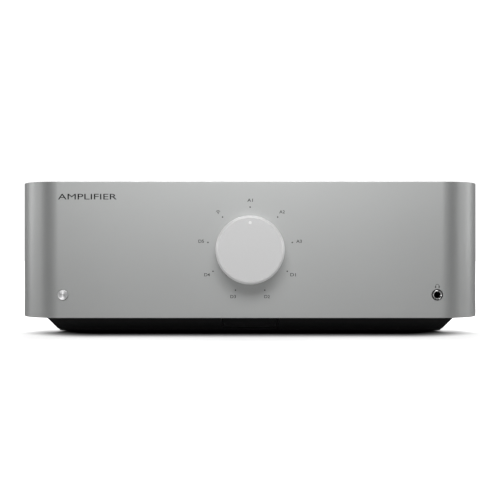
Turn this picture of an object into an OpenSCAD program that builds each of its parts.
// Integrated stereo amplifier: a wrapped aluminium case on a bevelled plinth, with one large
// two-part dial (source selector in front, volume ring behind), and its working parts inside.
// Millimetres. +X is the viewer's right, -Y the front, +Z up. The origin is on the resting
// surface, under the middle of the overall width and depth.

/* [Body] */
// Overall width of the case
body_w = 460; // [458:1:462]
// Depth of the case, without the dial and the rear terminals
body_d = 355; // [354:1:357]
// Height of the case above the plinth
body_h = 134; // [133:1:136]
// Radius of the four vertical corners
corner_r = 42; // [40:1:44]
// Thickness of the wrapped panels
wall_t = 8; // [7.5:0.5:8.5]
// How far the wrapped panels run along each side
wrap_l = 60; // [58:1:62]

/* [Plinth] */
// Height of the plinth
plinth_h = 15; // [14:0.5:15.5]
// How far the rubber feet stand below the plinth
foot_h = 1; // [1:0.5:2]
// Inset of the plinth's top edge from the case
plinth_inset = 19.8; // [18:0.2:20]

/* [Dial] */
// Radius of the source dial
dial_r = 31.7; // [31:0.1:32]
// Radius of the volume ring
ring_r = 33.4; // [33:0.1:34]
// How far the dial stands out of the front panel
dial_reach = 30; // [29:0.5:31]
// Depth of the volume ring
ring_reach = 14; // [13.5:0.5:14.5]

/* [Front controls] */
// Distance of the standby button and the headphone socket from the middle
control_x = 183.6; // [182:0.2:184]
// Height of both above the resting surface
control_z = 38.8; // [38:0.1:41]
// Radius of the standby button
button_r = 5; // [4.8:0.1:5.1]
// Travel of the standby button
button_travel = 1.2; // [0.8:0.1:1.3]

/* [Rear] */
// How far the speaker terminals stand out behind the case
terminal_reach = 20; // [19:1:22]
// Distance of the speaker terminals from the middle
terminal_x = 146; // [144:1:150]
// Radius of the 4 mm sockets in the speaker terminals
banana_r = 2.05; // [2.05:0.01:2.1]

/* [Hidden] */
$fn = 48;

// Planes of the case
y_front = -(dial_reach + body_d + terminal_reach) / 2 + dial_reach;
y_rear = y_front + body_d;
y_mid = (y_front + y_rear) / 2;
z_base = plinth_h + foot_h;
z_top = z_base + body_h;
side_y0 = y_front + wrap_l;
side_y1 = y_rear - wrap_l;

// Sheet parts
tray_t = 2;
cover_t = 4.6;
cover_z = z_top - cover_t - 0.4;
cover_gap = 0.4;
rear_t = 2;
rear_y = y_rear - wall_t;
tray_top = z_base + tray_t;
wall_y = y_front + 22.5;

// Heatsinks
sink_x = body_w / 2 - corner_r;
sink_base_t = 8;
fin_t = 3;
fin_pitch = 9;
fin_tip_x = body_w / 2 - 1.5;
fin_count = floor((side_y1 - side_y0 - 4 - fin_t) / fin_pitch) + 1;
fin_y0 = (side_y0 + side_y1 - (fin_count - 1) * fin_pitch - fin_t) / 2;

// Dial train, measured along its axis from the front panel's face (positive is forward)
dial_z = z_base + body_h / 2 - 0.1;
dial_edge = 1.3;
ring_edge = 1;
ring_gap = 0.8;
dial_back = ring_reach + ring_gap;
pointer_r = 25.8;
pointer_w = 2.2;
pointer_l = 3.4;
shaft_r = 3;
sleeve_in_r = 3.08;
sleeve_r = 5;
bush_in_r = 5.07;
bush_r = 8;
gear_front = -31;
gear_w = 5;
bracket_front = -44;
gear_module = 1;
gear_teeth = 40;
pinion_teeth = 16;
gear_distance = gear_module * (gear_teeth + pinion_teeth) / 2 + 0.12;
pinion_angle = 215;

// Standby button, along its axis from the front panel's face
button_proud = 1.6;
button_back = -9.6;
plunger_r = 1.6;
plunger_l = 2.8;
switch_d = 4;
front_board_y = y_front - button_back + 5.6;

// Toroidal transformers
toroid_r = 68;
toroid_hole_r = 20;
toroid_h = 50;
toroid_y = y_mid - 10;
pad_t = 2;
toroid_z = [tray_top + pad_t, tray_top + 2 * pad_t + toroid_h];

// Boards and cans
board_t = 1.6;
power_board_y = 101;
power_board_z = tray_top + 10;
can_r = 17.5;
can_h = 60;
amp_board_x = 146;
amp_board_z = tray_top + 24;

// Rear connectors: heights of the rows and places along them
terminal_z = [104, 68];
rca_row_z = [122, 102];
rca_x = [-42, -18, 6];
coax_x = [58, 36];
digital_z = 70;
optical_x = [78, 98];
usb_x = 10;
control_jack_x = [-18, -32];
xlr_x = [52, 86];
xlr_z = 112;
inlet_x = -14;
inlet_z = 40;
rocker_x = 26;
rocker_tilt = 10;
rocker_r = 9.2;
rocker_pivot_y = rear_y - 5;

// ---------------------------------------------------------------- helpers

// A cylinder along +Y between two planes
module rod_y(r, y0, y1) {
    translate([0, y0, 0]) rotate([-90, 0, 0]) cylinder(r = r, h = y1 - y0);
}

// A box between two corners
module span(a, b) {
    translate(a) cube(b - a);
}

// Children drawn with local +Z pointing forward, local origin on the panel's face
module on_front(x, z) {
    translate([x, y_front, z]) rotate([90, 0, 0]) children();
}

// Children drawn with local +Z pointing rearward, local origin on the rear panel's face
module on_rear(x, z) {
    translate([x, rear_y, z]) rotate([-90, 0, 0]) children();
}

// A quarter of a tube or disc, turned to one of the four corners
module quarter(r_out, r_in, h, turn) {
    rotate([0, 0, turn])
        rotate_extrude(angle = 90)
            translate([r_in, 0]) square([r_out - r_in, h]);
}

// A slab with four round vertical corners, centred on the case
module slab(w, d, r, z0, h) {
    translate([0, y_mid, z0]) {
        span([-w / 2, -d / 2 + r, 0], [w / 2, d / 2 - r, h]);
        for (s = [-1, 1])
            span([-w / 2 + r, s * (d - r) / 2 - r / 2, 0], [w / 2 - r, s * (d - r) / 2 + r / 2, h]);
        for (i = [0 : 3])
            translate([(i == 0 || i == 3 ? 1 : -1) * (w / 2 - r), (i < 2 ? 1 : -1) * (d / 2 - r), 0])
                quarter(r, 0, h, 90 * i);
    }
}

// A ring profile turned about Z: inner and outer radius, height, rounded outer front edge
module rounded_disc(r, h, edge) {
    rotate_extrude() {
        square([r - edge, h]);
        square([r, h - edge]);
        translate([r - edge, h - edge]) circle(r = edge);
    }
}

// A disc turned about Z with a 45 degree bevel round its front edge
module bevelled_disc(r, h, edge) {
    rotate_extrude()
        polygon([[0, 0], [r, 0], [r, h - edge], [r - edge, h], [0, h]]);
}

// A round head with a hexagon recess and a plain shank, pointing into local -Z
module screw(head_r, head_h, shank_r, shank_l) {
    difference() {
        union() {
            cylinder(r1 = head_r, r2 = head_r * 0.72, h = head_h);
            translate([0, 0, -shank_l]) cylinder(r = shank_r, h = shank_l + 0.1);
        }
        translate([0, 0, head_h * 0.35]) cylinder(r = head_r * 0.42, h = head_h, $fn = 6);
    }
}

// Points of one involute gear tooth flank, from the base circle to the tip
function involute(base_r, t) = base_r * [cos(t) + t * PI / 180 * sin(t), sin(t) - t * PI / 180 * cos(t)];
function turned(p, a) = [p[0] * cos(a) - p[1] * sin(a), p[0] * sin(a) + p[1] * cos(a)];
function mirrored(p) = [p[0], -p[1]];

// A spur gear outline: involute flanks, 20 degree pressure angle, thinned for backlash
module gear_outline(teeth, thin = 0.06) {
    pitch_r = gear_module * teeth / 2;
    base_r = pitch_r * cos(20);
    tip_r = pitch_r + gear_module;
    root_r = pitch_r - 1.25 * gear_module;
    steps = 4;
    t_tip = sqrt(pow(tip_r / base_r, 2) - 1) * 180 / PI;
    t_start = sqrt(max(pow((root_r + 0.15) / base_r, 2) - 1, 0)) * 180 / PI;
    t_pitch = tan(20) * 180 / PI;
    half = 90 / teeth + (t_pitch - 20) - (thin / pitch_r) * 180 / PI;
    flank = [for (i = [0 : steps]) involute(base_r, t_start + (t_tip - t_start) * i / steps)];
    side = [for (p = flank) turned(p, -half)];
    root_half = atan2(-side[0][1], side[0][0]);
    polygon([
        for (k = [0 : teeth - 1])
            let (a = 360 * k / teeth)
                each concat(
                    [turned([root_r, 0], a - min(root_half, 178 / teeth))],
                    [for (p = side) turned(p, a)],
                    [for (i = [steps : -1 : 0]) turned(mirrored(side[i]), a)],
                    [turned([root_r, 0], a + min(root_half, 178 / teeth))]
                )
    ]);
}

// A closed tube swept along points, as one polyhedron with flat ends
module swept(path, r, sides) {
    n = len(path);
    rings = [
        for (i = [0 : n - 1])
            let (
                ahead = path[min(i + 1, n - 1)] - path[max(i - 1, 0)],
                along = ahead / norm(ahead),
                across = cross(along, [0, 1, 0.001]),
                u = across / norm(across),
                v = cross(along, u)
            )
                for (k = [0 : sides - 1])
                    path[i] + r * (cos(360 * k / sides) * u + sin(360 * k / sides) * v)
    ];
    walls = [
        for (i = [0 : n - 2], k = [0 : sides - 1])
            let (a = i * sides + k, b = i * sides + (k + 1) % sides)
                each [[a, b, b + sides], [a, b + sides, a + sides]]
    ];
    last = (n - 1) * sides;
    start = [for (k = [1 : sides - 2]) [0, k + 1, k]];
    end = [for (k = [1 : sides - 2]) [last, last + k, last + k + 1]];
    polyhedron(points = rings, faces = concat(walls, start, end));
}

// A smooth curve through a list of points
function curve(p, t) =
    0.5 * (2 * p[1] + (p[2] - p[0]) * t + (2 * p[0] - 5 * p[1] + 4 * p[2] - p[3]) * t * t
        + (3 * p[1] - p[0] - 3 * p[2] + p[3]) * t * t * t);
function smooth(points, steps = 6) = [
    for (i = [0 : len(points) - 2], j = [0 : steps - 1])
        let (
            a = points[max(i - 1, 0)], b = points[i], c = points[i + 1],
            d = points[min(i + 2, len(points) - 1)]
        )
            curve([a, b, c, d], j / steps),
    points[len(points) - 1]
];

// A wire through a list of points
module wire(points, r) {
    swept(smooth(points), r, 10);
}

// ---------------------------------------------------------------- case

// One wrapped corner: a quarter tube with a straight run along the side
module wrap_corner(side, y_edge, into) {
    turn = side > 0 ? (into > 0 ? 270 : 0) : (into > 0 ? 180 : 90);
    translate([side * (body_w / 2 - corner_r), y_edge + into * corner_r, z_base])
        quarter(corner_r, corner_r - wall_t, body_h, turn);
    x0 = side > 0 ? body_w / 2 - wall_t : -body_w / 2;
    y0 = into > 0 ? y_edge + corner_r : y_edge - wrap_l;
    translate([x0, y0, z_base]) cube([wall_t, wrap_l - corner_r, body_h]);
}

module front_panel() {
    color([0.62, 0.63, 0.63])
    difference() {
        union() {
            span([-body_w / 2 + corner_r, y_front, z_base], [body_w / 2 - corner_r, y_front + wall_t, z_top]);
            for (s = [-1, 1]) wrap_corner(s, y_front, 1);
            // bosses that the tray's front wall is fixed to
            for (x = [-96, 96], z = [34, 128])
                translate([x, y_front + wall_t - 0.1, z]) rod_y(5, 0, wall_y - y_front - wall_t + 0.1);
            // ledge that the top cover rests on
            span([-180, y_front + wall_t, cover_z - 4], [180, y_front + wall_t + 4, cover_z]);
        }
        on_front(0, dial_z) translate([0, 0, -wall_t - 5]) cylinder(r = bush_r + 0.05, h = wall_t + 10);
        on_front(-control_x, control_z) translate([0, 0, -wall_t - 5]) cylinder(r = button_r + 0.2, h = wall_t + 10);
        on_front(control_x, control_z) translate([0, 0, -wall_t - 5]) cylinder(r = 5.45, h = wall_t + 10);
    }
}

module rear_corner(side) {
    color([0.62, 0.63, 0.63]) {
        wrap_corner(side, y_rear, -1);
        x0 = side > 0 ? body_w / 2 - corner_r - 7 : -body_w / 2 + corner_r;
        translate([x0, y_rear - wall_t, z_base]) cube([7, wall_t, body_h]);
    }
}

// A long vent slot through local Z, with round ends
module slot(l, w, h) {
    translate([-l / 2 + w / 2, -w / 2, 0]) cube([l - w, w, h]);
    for (s = [-1, 1]) translate([s * (l - w) / 2, 0, 0]) cylinder(r = w / 2, h = h);
}

module top_cover() {
    color([0.64, 0.65, 0.65])
    difference() {
        union() {
            slab(body_w - 2 * (wall_t + cover_gap), body_d - 2 * (wall_t + cover_gap),
                 corner_r - wall_t - cover_gap, cover_z, cover_t);
            // ears over the heatsinks
            for (s = [-1, 1])
                span([s > 0 ? 180 : -fin_tip_x - 1, side_y0 + cover_gap, cover_z],
                     [s > 0 ? fin_tip_x + 1 : -180, side_y1 - cover_gap, cover_z + cover_t]);
            // lip that the rear panel is screwed to
            span([-170, rear_y - rear_t - 2.2, cover_z - 12], [170, rear_y - rear_t - 0.2, cover_z + 1]);
        }
        // vent slots between the fins
        for (s = [-1, 1], i = [1 : fin_count - 3])
            translate([s * 209, fin_y0 + fin_t / 2 + (i + 0.5) * fin_pitch, cover_z - 1]) slot(30, 4.4, cover_t + 2);
        for (x = [-160, -60, 60, 160])
            translate([x, rear_y - rear_t - 4, cover_z - 6]) rod_y(1.3, 0, 6);
    }
}

// A comb of vertical fins on a thick base, seen from above
module heatsink(side) {
    h = cover_z - z_base - 3.2;
    tip = 0.9;
    comb = concat(
        [[sink_x, side_y0 - 5], [sink_x + sink_base_t, side_y0 - 5]],
        [for (i = [0 : fin_count - 1])
            let (y = fin_y0 + i * fin_pitch)
                each [
                    [sink_x + sink_base_t, y], [fin_tip_x - tip, y + 0.2], [fin_tip_x, y + 0.2 + tip],
                    [fin_tip_x, y + fin_t - 0.2 - tip], [fin_tip_x - tip, y + fin_t - 0.2],
                    [sink_x + sink_base_t, y + fin_t]
                ]],
        [[sink_x + sink_base_t, side_y1 + 5], [sink_x, side_y1 + 5]]
    );
    color([0.55, 0.56, 0.57])
    translate([0, 0, z_base + 3])
        linear_extrude(h) polygon([for (p = comb) [side * p[0], p[1]]]);
}

// Places of the screws in the rear panel, as [x, z]
rear_screw_places = concat(
    [for (x = [-160, -60, 60, 160]) [x, cover_z - 6]],
    [for (x = [-160, -60, 60, 160]) [x, tray_top + 6]]
);

module rear_panel() {
    color([0.42, 0.43, 0.44])
    difference() {
        span([-187, rear_y - rear_t, tray_top + 0.2], [187, rear_y, cover_z - 0.2]);
        for (p = rear_screw_places) on_rear(p[0], p[1]) translate([0, 0, -5]) cylinder(r = 1.7, h = 10);
        for (s = [-1, 1], z = terminal_z) on_rear(s * terminal_x, z) translate([0, 0, -5]) cylinder(r = 6.5, h = 10);
        for (x = rca_x, z = rca_row_z) on_rear(x, z) translate([0, 0, -5]) cylinder(r = 4.7, h = 10);
        for (x = coax_x) on_rear(x, digital_z) translate([0, 0, -5]) cylinder(r = 4.7, h = 10);
        for (x = xlr_x) on_rear(x, xlr_z) translate([0, 0, -5]) cylinder(r = 11.8, h = 10);
        for (x = optical_x) on_rear(x, digital_z) translate([-5.1, -5.1, -5]) cube([10.2, 10.2, 10]);
        on_rear(usb_x, digital_z) translate([-6.1, -5.7, -5]) cube([12.2, 11.4, 10]);
        for (x = control_jack_x) on_rear(x, digital_z) translate([0, 0, -5]) cylinder(r = 3.6, h = 10);
        on_rear(inlet_x, inlet_z) translate([-13.7, -10.2, -5]) cube([27.4, 20.4, 10]);
        on_rear(rocker_x, inlet_z) translate([-6.9, -10.9, -5]) cube([13.8, 21.8, 10]);
    }
}

module chassis_tray() {
    inset = wall_t + cover_gap;
    color([0.30, 0.31, 0.32])
    difference() {
        union() {
            difference() {
                slab(body_w - 2 * inset, body_d - 2 * inset, corner_r - inset, z_base, tray_t);
                for (s = [-1, 1])
                    span([s > 0 ? sink_x + sink_base_t + 1 : -body_w, side_y0 - 2, z_base - 1],
                         [s > 0 ? body_w : -sink_x - sink_base_t - 1, side_y1 + 2, z_base + tray_t + 1]);
            }
            // front wall that carries the controls
            span([-180, wall_y, z_base + 1], [180, wall_y + tray_t, cover_z - 0.3]);
            // flanges that the heatsinks are bolted to
            for (s = [-1, 1])
                span([s > 0 ? sink_x - 2.2 : -sink_x + 0.2, side_y0 + 6, z_base + 1],
                     [s > 0 ? sink_x - 0.2 : -sink_x + 2.2, side_y1 - 6, z_base + 20]);
            // flange behind the rear panel
            span([-170, rear_y - rear_t - 2.2, z_base + 1], [170, rear_y - rear_t - 0.2, z_base + 12]);
        }
        translate([0, wall_y - 5, dial_z]) rod_y(7, 0, 12);
        translate([control_x, wall_y - 5, control_z]) rod_y(11.5, 0, 12);
        for (x = [-160, -60, 60, 160])
            translate([x, rear_y - rear_t - 4, tray_top + 6]) rod_y(1.3, 0, 6);
        // vent slots under the transformers
        for (s = [-1, 1], i = [0 : 5])
            translate([s * 110, toroid_y - 50 + 20 * i, z_base - 1]) slot(50, 5, 4);
    }
}

// ---------------------------------------------------------------- plinth and feet

foot_x = 165;
foot_y = [y_front + 70, y_rear - 70];
window_top_w = 60;
window_low_w = 54;
window_z = foot_h + 3;
window_y = y_front + plinth_inset + plinth_h + 1.5;

// One level of the plinth's outline
module plinth_level(inset, z) {
    r = corner_r - inset;
    for (sx = [-1, 1], sy = [-1, 1])
        translate([sx * (body_w / 2 - corner_r), y_mid + sy * (body_d / 2 - corner_r), z]) cylinder(r = r, h = 0.01, $fn = 72);
}

module plinth() {
    color([0.04, 0.04, 0.045])
    difference() {
        hull() {
            plinth_level(plinth_inset, z_base - 0.01);
            plinth_level(plinth_inset + plinth_h - 2, foot_h + 2);
            plinth_level(plinth_inset + plinth_h + 0.4, foot_h);
        }
        // hollow above a closed floor
        span([-188, y_front + 50, foot_h + 4], [188, y_rear - 50, z_base + 1]);
        // sensor window notch in the front bevel
        translate([0, window_y, 0]) rotate([90, 0, 0]) linear_extrude(30)
            polygon([[-window_low_w / 2, window_z], [window_low_w / 2, window_z],
                     [window_top_w / 2, z_base + 1], [-window_top_w / 2, z_base + 1]]);
        // pocket behind the notch for the lens
        span([-window_top_w / 2 - 1, window_y - 0.05, window_z - 0.6], [window_top_w / 2 + 1, window_y + 2, z_base + 1]);
        for (x = [-foot_x, foot_x], y = foot_y) translate([x, y, foot_h - 1]) cylinder(r = 18.1, h = 2.5);
        for (p = base_screw_places) translate([p[0], p[1], foot_h - 1]) {
            cylinder(r = 4.2, h = 3.4);
            cylinder(r = 1.8, h = 10);
        }
    }
}

module window_lens() {
    color([0.02, 0.02, 0.025])
    span([-window_top_w / 2 - 0.9, window_y, window_z - 0.5], [window_top_w / 2 + 0.9, window_y + 1.9, z_base - 0.1]);
}

module feet() {
    color([0.06, 0.06, 0.06])
    for (x = [-foot_x, foot_x], y = foot_y)
        translate([x, y, foot_h + 1.5]) rotate([180, 0, 0]) rounded_disc(18, foot_h + 1.5, 0.9);
}

base_screw_places = [for (x = [-120, 0, 120], y = [y_front + 100, y_rear - 60]) [x, y]];

module case_screws() {
    color([0.10, 0.10, 0.11]) {
        for (p = rear_screw_places) on_rear(p[0], p[1]) screw(2.9, 1.6, 1.25, 6);
        for (p = base_screw_places)
            translate([p[0], p[1], foot_h + 2.4]) rotate([180, 0, 0]) screw(3.6, 1.8, 1.5, 8);
    }
}

// ---------------------------------------------------------------- dial, ring and their train

module source_dial() {
    color([0.80, 0.80, 0.80])
    on_front(0, dial_z)
    difference() {
        translate([0, 0, dial_back]) bevelled_disc(dial_r, dial_reach - dial_back, dial_edge);
        // hollow back around the hub
        difference() {
            translate([0, 0, dial_back - 1]) cylinder(r = dial_r - 3, h = dial_reach - dial_back - 2.5);
            translate([0, 0, dial_back - 2]) cylinder(r = 9, h = dial_reach);
        }
        translate([0, 0, dial_back - 1]) cylinder(r = shaft_r, h = dial_reach - dial_back - 2.5);
        translate([0, pointer_r, dial_reach - 0.6]) pointer_shape(1);
    }
}

// The pointer's outline: a short upright mark
module pointer_shape(h) {
    translate([-pointer_w / 2, -pointer_l / 2, 0]) cube([pointer_w, pointer_l, h]);
}

module dial_pointer() {
    color([0.95, 0.95, 0.95])
    on_front(0, dial_z) translate([0, pointer_r, dial_reach - 0.6]) pointer_shape(0.5);
}

module source_shaft() {
    color([0.65, 0.65, 0.67])
    on_front(0, dial_z) translate([0, 0, bracket_front - 2]) cylinder(r = shaft_r, h = dial_reach - 3.6 - bracket_front + 2);
}

module volume_ring() {
    color([0.80, 0.80, 0.80])
    on_front(0, dial_z)
    difference() {
        translate([0, 0, ring_gap]) bevelled_disc(ring_r, ring_reach - ring_gap, ring_edge);
        difference() {
            translate([0, 0, -1]) cylinder(r = ring_r - 3, h = ring_reach - 2);
            translate([0, 0, -2]) cylinder(r = 10, h = ring_reach);
        }
        translate([0, 0, -1]) cylinder(r = sleeve_r, h = ring_reach + 4);
    }
}

module volume_sleeve() {
    color([0.70, 0.66, 0.50])
    on_front(0, dial_z) translate([0, 0, bracket_front + 3])
    difference() {
        cylinder(r = sleeve_r, h = ring_reach - bracket_front - 3);
        translate([0, 0, -1]) cylinder(r = sleeve_in_r, h = ring_reach - bracket_front);
    }
}

module volume_gear() {
    color([0.85, 0.85, 0.78])
    on_front(0, dial_z) translate([0, 0, gear_front - gear_w])
    difference() {
        linear_extrude(gear_w) gear_outline(gear_teeth);
        translate([0, 0, -1]) cylinder(r = sleeve_r, h = gear_w + 2);
        for (i = [0 : 5]) rotate([0, 0, 60 * i]) translate([11.5, 0, -1]) cylinder(r = 3.2, h = gear_w + 2);
    }
}

// Children drawn on the encoder's axis, with the front face of the panel as z = 0
module on_encoder() {
    on_front(0, dial_z)
        translate([gear_distance * cos(pinion_angle), gear_distance * sin(pinion_angle), 0]) children();
}

// Angle that puts a pinion gap opposite the gear tooth nearest to the line of centres
gear_phase = pinion_angle * gear_teeth / 360;
pinion_turn = 180 + pinion_angle + (gear_phase - floor(gear_phase)) * 360 / pinion_teeth + 180 / pinion_teeth;

module encoder_pinion() {
    color([0.85, 0.85, 0.78])
    on_encoder() {
        translate([0, 0, gear_front - gear_w - 0.5]) rotate([0, 0, pinion_turn])
            linear_extrude(gear_w + 1) gear_outline(pinion_teeth);
        translate([0, 0, bracket_front - 6]) cylinder(r = 2.5, h = gear_front - bracket_front + 2);
    }
}

module volume_encoder() {
    color([0.16, 0.18, 0.17])
    on_encoder()
    difference() {
        union() {
            translate([-6, -6, bracket_front - 10]) cube([12, 12, 8]);
            translate([0, 0, bracket_front - 2.1]) cylinder(r = 4, h = 3.5);
        }
        translate([0, 0, bracket_front - 6.2]) cylinder(r = 2.55, h = 9);
    }
}

module control_bush() {
    color([0.72, 0.66, 0.45])
    on_front(0, dial_z)
    difference() {
        union() {
            translate([0, 0, -wall_t - 3]) cylinder(r = 15, h = 3);
            translate([0, 0, -wall_t - 0.1]) cylinder(r = bush_r, h = wall_t + 0.5);
        }
        translate([0, 0, -wall_t - 5]) cylinder(r = bush_in_r, h = wall_t + 10);
    }
}

module control_bracket() {
    y0 = wall_y + tray_t;
    y1 = y_front - bracket_front;
    color([0.55, 0.56, 0.58])
    difference() {
        union() {
            span([-38, y1, dial_z - 36], [32, y1 + 2, dial_z + 26]);
            for (x = [-38, 30]) {
                span([x, y0 + 0.05, dial_z - 36], [x + 2, y1 + 1, dial_z + 26]);
                span([x > 0 ? x : x - 10, y0 + 0.05, dial_z - 36], [x > 0 ? x + 12 : x + 2, y0 + 2, dial_z + 26]);
            }
        }
        translate([0, y1 - 5, dial_z]) rod_y(4.2, 0, 12);
        on_encoder() translate([0, 0, bracket_front - 5]) cylinder(r = 4.1, h = 10);
    }
}

module source_switch() {
    y1 = y_front - bracket_front + 2;
    color([0.22, 0.24, 0.26])
    difference() {
        union() {
            span([-13, y1 + 0.05, dial_z - 13], [13, y1 + 18, dial_z + 13]);
            translate([0, y1 - 2.5, dial_z]) rod_y(4.1, 0, 3);
        }
        translate([0, y1 - 3, dial_z]) rod_y(shaft_r + 0.06, 0, 3.2);
    }
}

module switch_wafers() {
    y1 = y_front - bracket_front + 20.05;
    color([0.55, 0.42, 0.22])
    for (i = [0 : 2]) translate([0, y1 + 5 + 7 * i, dial_z]) rod_y(12, 0, 1.4);
    color([0.60, 0.60, 0.62])
    for (s = [-1, 1]) translate([s * 9, y1, dial_z]) rod_y(1.6, 0, 22);
}

// ---------------------------------------------------------------- standby button and headphones

module standby_button() {
    color([0.82, 0.82, 0.84])
    on_front(-control_x, control_z)
    difference() {
        union() {
            translate([0, 0, button_back + 0.1]) rounded_disc(button_r, button_proud - button_back - 0.1, 0.35);
            translate([0, 0, button_back]) cylinder(r = 6.6, h = 1.1);
        }
        // shallow dish in the face
        translate([0, 0, button_proud - 0.25]) cylinder(r1 = 3.9, r2 = 4.4, h = 0.5);
    }
}

module switch_plunger() {
    color([0.88, 0.88, 0.86])
    on_front(-control_x, control_z)
        translate([0, 0, button_back - plunger_l]) cylinder(r = plunger_r, h = plunger_l);
}

module front_board() {
    x = -control_x;
    color([0.05, 0.25, 0.14]) span([x - 14, front_board_y, control_z - 14], [x + 14, front_board_y + board_t, control_z + 24]);
    color([0.12, 0.12, 0.12])
    difference() {
        span([x - 3.5, front_board_y - switch_d, control_z - 3.5], [x + 3.5, front_board_y + 0.1, control_z + 3.5]);
        translate([x, front_board_y - switch_d - 1, control_z]) rod_y(plunger_r + 0.05, 0, switch_d + 0.4);
    }
    // ribbon connector
    color([0.9, 0.9, 0.85]) span([x - 6, front_board_y + board_t - 0.1, control_z + 14], [x + 6, front_board_y + board_t + 4, control_z + 20]);
}

jack_r = 3.2;
jack_rim_r = 4.45;
jack_depth = 30;

module headphone_jack() {
    color([0.78, 0.78, 0.78])
    on_front(control_x, control_z)
    difference() {
        union() {
            translate([0, 0, -wall_t - 1]) cylinder(r = jack_rim_r, h = wall_t + 1.3);
            translate([-7, -8, -wall_t - 26]) cube([14, 16, 25.5]);
        }
        translate([0, 0, -jack_depth]) cylinder(r = jack_r, h = jack_depth + 2);
        translate([0, 0, -0.5]) cylinder(r1 = jack_r, r2 = jack_rim_r - 0.15, h = 0.85);
    }
}

module jack_collar() {
    color([0.03, 0.03, 0.03])
    on_front(control_x, control_z) translate([0, 0, -wall_t])
    difference() {
        cylinder(r = 5.4, h = wall_t - 0.7);
        translate([0, 0, -1]) cylinder(r = jack_rim_r, h = wall_t + 2);
    }
}

// ---------------------------------------------------------------- power supply and boards

// A wound ring with rounded shoulders
module toroid(z) {
    shoulder = 12;
    color([0.76, 0.55, 0.16])
    translate([0, toroid_y, z]) rotate_extrude() {
        translate([toroid_hole_r + shoulder, 0]) square([toroid_r - toroid_hole_r - 2 * shoulder, toroid_h]);
        translate([toroid_hole_r, shoulder]) square([toroid_r - toroid_hole_r, toroid_h - 2 * shoulder]);
        for (r = [toroid_hole_r + shoulder, toroid_r - shoulder], h = [shoulder, toroid_h - shoulder])
            translate([r, h]) circle(r = shoulder);
    }
}

module transformer_pads() {
    color([0.08, 0.08, 0.08])
    for (z = [tray_top, toroid_z[0] + toroid_h, toroid_z[1] + toroid_h])
        translate([0, toroid_y, z]) difference() {
            cylinder(r = toroid_r - 10, h = pad_t);
            translate([0, 0, -1]) cylinder(r = 5, h = pad_t + 2);
        }
}

module transformer_bolt() {
    z = toroid_z[1] + toroid_h + pad_t;
    color([0.62, 0.62, 0.64]) {
        translate([0, toroid_y, tray_top]) cylinder(r = 4, h = z + 4 - tray_top);
        translate([0, toroid_y, z]) difference() {
            cylinder(r = 45, h = 2);
            translate([0, 0, -1]) cylinder(r = 3.5, h = 4);
        }
        translate([0, toroid_y, z + 1.9]) cylinder(r = 7.5, h = 6, $fn = 6);
    }
}

module standoffs(x0, x1, y0, y1, z1) {
    for (x = [x0, x1], y = [y0, y1]) translate([x, y, tray_top]) cylinder(r = 3, h = z1 - tray_top);
}

module power_board() {
    color([0.05, 0.25, 0.14]) {
        span([-100, power_board_y - 36, power_board_z], [100, power_board_y + 36, power_board_z + board_t]);
    }
    color([0.6, 0.6, 0.6]) standoffs(-94, 94, power_board_y - 30, power_board_y + 30, power_board_z);
    // bridge rectifiers and fuses
    color([0.1, 0.1, 0.1])
        for (x = [-60, 20]) span([x, power_board_y + 22, power_board_z + board_t], [x + 30, power_board_y + 30, power_board_z + 28]);
    color([0.75, 0.75, 0.75])
        for (x = [-20, -8]) translate([x, power_board_y + 22, power_board_z + board_t + 2.4]) rod_y(2.6, 0, 12);
}

module reservoir_capacitors() {
    color([0.12, 0.16, 0.30])
    for (i = [0 : 3])
        translate([(i - 1.5) * 44, power_board_y - 12, power_board_z + board_t]) rounded_disc(can_r, can_h, 2);
}

// An output board beside a heatsink, with driver parts
module amp_board(side) {
    y0 = y_mid - 88;
    y1 = y_mid + 60;
    x0 = side * amp_board_x;
    color([0.05, 0.25, 0.14]) span([x0 - 28, y0, amp_board_z], [x0 + 28, y1, amp_board_z + board_t]);
    color([0.6, 0.6, 0.6]) standoffs(x0 - 22, x0 + 22, y0 + 6, y1 - 6, amp_board_z);
    // relay, output coil and driver capacitors
    color([0.15, 0.15, 0.16]) span([x0 - 14, y1 - 40, amp_board_z + board_t], [x0 + 14, y1 - 14, amp_board_z + 20]);
    color([0.75, 0.42, 0.2]) translate([x0, y1 - 62, amp_board_z + board_t]) difference() {
        cylinder(r = 12, h = 14);
        translate([0, 0, -1]) cylinder(r = 7, h = 16);
    }
    color([0.1, 0.1, 0.12])
        for (i = [0 : 3]) translate([x0 - 12, y0 + 20 + 16 * i, amp_board_z + board_t]) cylinder(r = 6, h = 18);
}

module output_transistors() {
    color([0.1, 0.1, 0.1])
    for (s = [-1, 1], i = [0 : 3])
        span([s > 0 ? sink_x - 5 : -sink_x, y_mid - 80 + 38 * i, amp_board_z + 8],
             [s > 0 ? sink_x : -sink_x + 5, y_mid - 60 + 38 * i, amp_board_z + 34]);
}

// Board behind the line and digital sockets
module input_board() {
    y0 = rear_y - 26;
    color([0.05, 0.25, 0.14]) span([-64, y0, 58], [112, y0 + board_t, 136]);
    color([0.1, 0.1, 0.1])
        for (x = [-50, -20, 30, 70]) span([x, y0 - 2.5, 84], [x + 14, y0, 98]);
}

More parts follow.
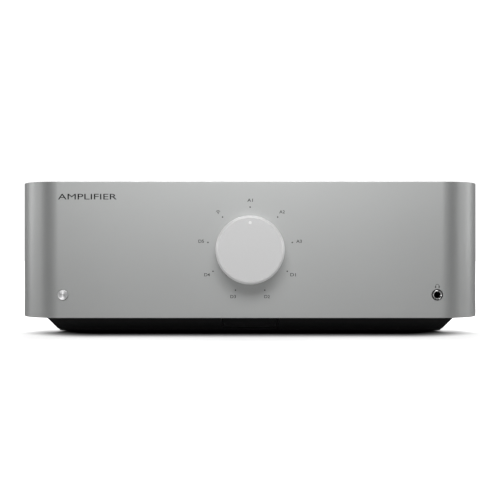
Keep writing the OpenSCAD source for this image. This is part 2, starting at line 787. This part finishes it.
module internal_wiring() {
    stud_y = rear_y - 22.9;
    relay_top = amp_board_z + 21.4;
    ribbon_y = front_board_y + board_t + 2;
    color([0.5, 0.08, 0.08])
    for (s = [-1, 1])
        wire([[s * terminal_x, stud_y, terminal_z[0]], [s * terminal_x, stud_y - 16, terminal_z[0]],
              [s * terminal_x, y_mid + 40, 86], [s * terminal_x, y_mid + 34, relay_top]], 1.6);
    color([0.08, 0.08, 0.08])
    for (s = [-1, 1])
        wire([[s * terminal_x, stud_y, terminal_z[1]], [s * terminal_x, stud_y - 12, terminal_z[1]],
              [s * (terminal_x + 8), y_mid + 54, 74], [s * (terminal_x + 8), y_mid + 40, relay_top]], 1.6);
    color([0.35, 0.2, 0.08])
    for (dx = [-7, 7])
        wire([[inlet_x + dx, rear_y - 25.4, inlet_z], [inlet_x + dx, rear_y - 32, inlet_z + 2],
              [inlet_x + dx, 136, 84], [inlet_x + dx, 86, 108],
              [inlet_x + dx, toroid_y + toroid_r + 3, 98]], 1.4);
    color([0.7, 0.7, 0.7])
        wire([[-control_x, ribbon_y, control_z + 20.2], [-control_x, ribbon_y, control_z + 44],
              [-control_x + 12, ribbon_y, 124]], 0.7);
}

// ---------------------------------------------------------------- rear connectors

module iec_inlet() {
    color([0.05, 0.05, 0.05])
    on_rear(inlet_x, inlet_z) {
        difference() {
            union() {
                translate([-15.5, -12, 0]) cube([31, 24, 2.2]);
                translate([-13.5, -10, -25]) cube([27, 20, 25.1]);
            }
            translate([-12, -8.2, -14]) cube([24, 16.4, 20]);
        }
        for (p = [[-7, 1], [7, 1], [0, -3]]) translate([p[0] - 1, p[1] - 2, -15]) cube([2, 4, 12]);
    }
}

module switch_frame() {
    color([0.05, 0.05, 0.05])
    on_rear(rocker_x, inlet_z)
    difference() {
        union() {
            translate([-8.5, -12.5, 0]) cube([17, 25, 1.5]);
            translate([-6.7, -10.7, -20]) cube([13.4, 21.4, 20.1]);
        }
        translate([-5.2, -9.6, -16]) cube([10.4, 19.2, 20]);
        translate([-5.9, 0, rocker_pivot_y - rear_y]) rotate([0, 90, 0]) cylinder(r = 1.05, h = 11.8);
    }
}

module mains_rocker() {
    color([0.08, 0.08, 0.08])
    translate([rocker_x, rocker_pivot_y, inlet_z]) rotate([rocker_tilt, 0, 0]) rotate([90, 0, 90]) {
        translate([0, 0, -4.9]) linear_extrude(9.8) intersection() {
            circle(r = rocker_r);
            polygon([[-3, -9], [3, -9], [6.6, -8.9], [5, 0], [6.6, 8.9], [3, 9], [-3, 9]]);
        }
        translate([0, 0, -5.8]) cylinder(r = 1, h = 11.6);
    }
}

module xlr_sockets() {
    // the flanged shell
    color([0.07, 0.07, 0.08])
    for (x = xlr_x) on_rear(x, xlr_z)
    difference() {
        union() {
            translate([-13, -15.5, 0]) cube([26, 31, 1.6]);
            translate([0, 0, -18]) cylinder(r = 11.6, h = 18.1);
        }
        translate([0, 0, -19]) cylinder(r = 9.6, h = 22);
        for (s = [-1, 1]) translate([s * 9.5, s * 12, -1]) cylinder(r = 1.6, h = 4);
    }
    // the insert with three contact holes, and the groove for a plug round it
    color([0.05, 0.05, 0.05])
    for (x = xlr_x) on_rear(x, xlr_z)
    difference() {
        union() {
            translate([0, 0, -17.8]) cylinder(r = 9.5, h = 7.8);
            translate([0, 0, -10.1]) cylinder(r = 7.6, h = 11.1);
        }
        for (a = [-45, 225, 90]) rotate([0, 0, a]) translate([4.3, 0, -8]) cylinder(r = 1.35, h = 14);
    }
}

// Places of the phono sockets, as [x, z]
phono_places = concat([for (x = rca_x, z = rca_row_z) [x, z]], [for (x = coax_x) [x, digital_z]]);

module rca_shells() {
    color([0.80, 0.66, 0.30])
    for (p = phono_places) on_rear(p[0], p[1]) difference() {
        union() {
            translate([0, 0, -8]) cylinder(r = 4.6, h = 11);
            cylinder(r = 6, h = 1.5);
            translate([0, 0, 2.9]) cylinder(r = 4.15, h = 7.1);
        }
        translate([0, 0, -9]) cylinder(r = 3.5, h = 20);
    }
}

module rca_inserts() {
    color([0.85, 0.85, 0.85])
    for (p = phono_places) on_rear(p[0], p[1]) difference() {
        translate([0, 0, -8]) cylinder(r = 3.5, h = 17);
        cylinder(r = 1.65, h = 12);
    }
}

shutter_pivot = [0.9, 3.0];

module optical_sockets() {
    color([0.06, 0.06, 0.06])
    for (x = optical_x) on_rear(x, digital_z)
    difference() {
        union() {
            translate([-6.5, -6.5, 0]) cube([13, 13, 2]);
            translate([-5, -5, -15]) cube([10, 10, 15.1]);
        }
        translate([-3.25, -3.9, -9]) cube([6.5, 7.6, 14]);
        translate([-3.8, -shutter_pivot[1], shutter_pivot[0]]) rotate([0, 90, 0]) cylinder(r = 0.35, h = 7.6);
    }
}

// A sprung flap that closes the optical socket, hinged at its top edge
module optical_shutter(i) {
    color([0.14, 0.14, 0.14])
    translate([optical_x[i], rear_y + shutter_pivot[0], digital_z]) {
        span([-3.05, -0.4, -3.2], [3.05, 0.4, shutter_pivot[1]]);
        translate([-3.7, 0, shutter_pivot[1]]) rotate([0, 90, 0]) cylinder(r = 0.3, h = 7.4);
    }
}

module data_sockets() {
    color([0.70, 0.70, 0.72]) {
        on_rear(usb_x, digital_z) {
            difference() {
                translate([-6, -5.6, -14]) cube([12, 11.2, 14.8]);
                translate([-4.25, -3.9, -9]) cube([8.5, 7.8, 12]);
            }
            translate([-2.8, -1.6, -10]) cube([5.6, 3.2, 9]);
        }
        for (x = control_jack_x) on_rear(x, digital_z) difference() {
            union() {
                translate([0, 0, -13]) cylinder(r = 3.5, h = 13.1);
                cylinder(r = 4.6, h = 1.6);
            }
            translate([0, 0, -11]) cylinder(r = 1.8, h = 14);
        }
    }
}

// Speaker terminals: measured along local +Z from the rear panel's face
stud_r = 4;
cap_end = wall_t + terminal_reach;
stud_end = cap_end - 1;
washer_z = 4.2;
washer_t = 1.5;
cap_z = washer_z + washer_t + 0.2;

module post_studs() {
    color([0.83, 0.68, 0.32])
    for (s = [-1, 1], z = terminal_z) on_rear(s * terminal_x, z) difference() {
        translate([0, 0, -22.5]) cylinder(r = stud_r, h = stud_end + 22.5);
        translate([0, 0, stud_end - 20]) cylinder(r = banana_r, h = 30);
    }
}

module post_bases() {
    color([0.05, 0.05, 0.05])
    for (s = [-1, 1], z = terminal_z) on_rear(s * terminal_x, z) difference() {
        union() {
            cylinder(r = 11, h = 4);
            translate([0, 0, -rear_t - 3]) cylinder(r = 10, h = 3);
            translate([0, 0, -rear_t - 0.1]) cylinder(r = 6.4, h = rear_t + 0.2);
        }
        translate([0, 0, -10]) cylinder(r = stud_r, h = 20);
    }
}

module post_cap(side, row) {
    flutes = 14;
    color(row == 0 ? [0.62, 0.05, 0.05] : [0.06, 0.06, 0.06])
    on_rear(side * terminal_x, terminal_z[row])
    difference() {
        translate([0, 0, cap_z]) rounded_disc(9.4, cap_end - cap_z, 1);
        translate([0, 0, cap_z - 1]) cylinder(r = stud_r + 0.08, h = 40);
        for (i = [0 : flutes - 1]) rotate([0, 0, 360 * i / flutes]) translate([10, 0, cap_z - 1]) cylinder(r = 1.3, h = 40);
    }
}

module post_washer(side, row) {
    color([0.83, 0.68, 0.32])
    on_rear(side * terminal_x, terminal_z[row]) translate([0, 0, washer_z]) difference() {
        cylinder(r = 8, h = washer_t);
        translate([0, 0, -1]) cylinder(r = stud_r + 0.08, h = washer_t + 2);
    }
}

// ---------------------------------------------------------------- which piece is drawn

front_panel();
top_cover();
heatsink(-1);  // heatsink_left
heatsink(1);  // heatsink_right
rear_corner(-1);  // rear_corner_left
rear_corner(1);  // rear_corner_right
rear_panel();
chassis_tray();
plinth();
window_lens();
feet();
case_screws();
source_dial();
dial_pointer();
source_shaft();
volume_ring();
volume_sleeve();
volume_gear();
encoder_pinion();
volume_encoder();
control_bush();
control_bracket();
source_switch();
switch_wafers();
standby_button();
switch_plunger();
front_board();
headphone_jack();
jack_collar();
toroid(toroid_z[0]);  // transformer_lower
toroid(toroid_z[1]);  // transformer_upper
transformer_pads();
transformer_bolt();
power_board();
reservoir_capacitors();
amp_board(-1);  // amp_board_left
amp_board(1);  // amp_board_right
output_transistors();
input_board();
internal_wiring();
iec_inlet();
switch_frame();
mains_rocker();
xlr_sockets();
rca_shells();
rca_inserts();
optical_sockets();
optical_shutter(0);  // optical_shutter_1
optical_shutter(1);  // optical_shutter_2
data_sockets();
post_studs();
post_bases();
post_cap(-1, 0);  // post_cap_left_plus
post_cap(-1, 1);  // post_cap_left_minus
post_cap(1, 0);  // post_cap_right_plus
post_cap(1, 1);  // post_cap_right_minus
post_washer(-1, 0);  // post_washer_left_plus
post_washer(-1, 1);  // post_washer_left_minus
post_washer(1, 0);  // post_washer_right_plus
post_washer(1, 1);  // post_washer_right_minus
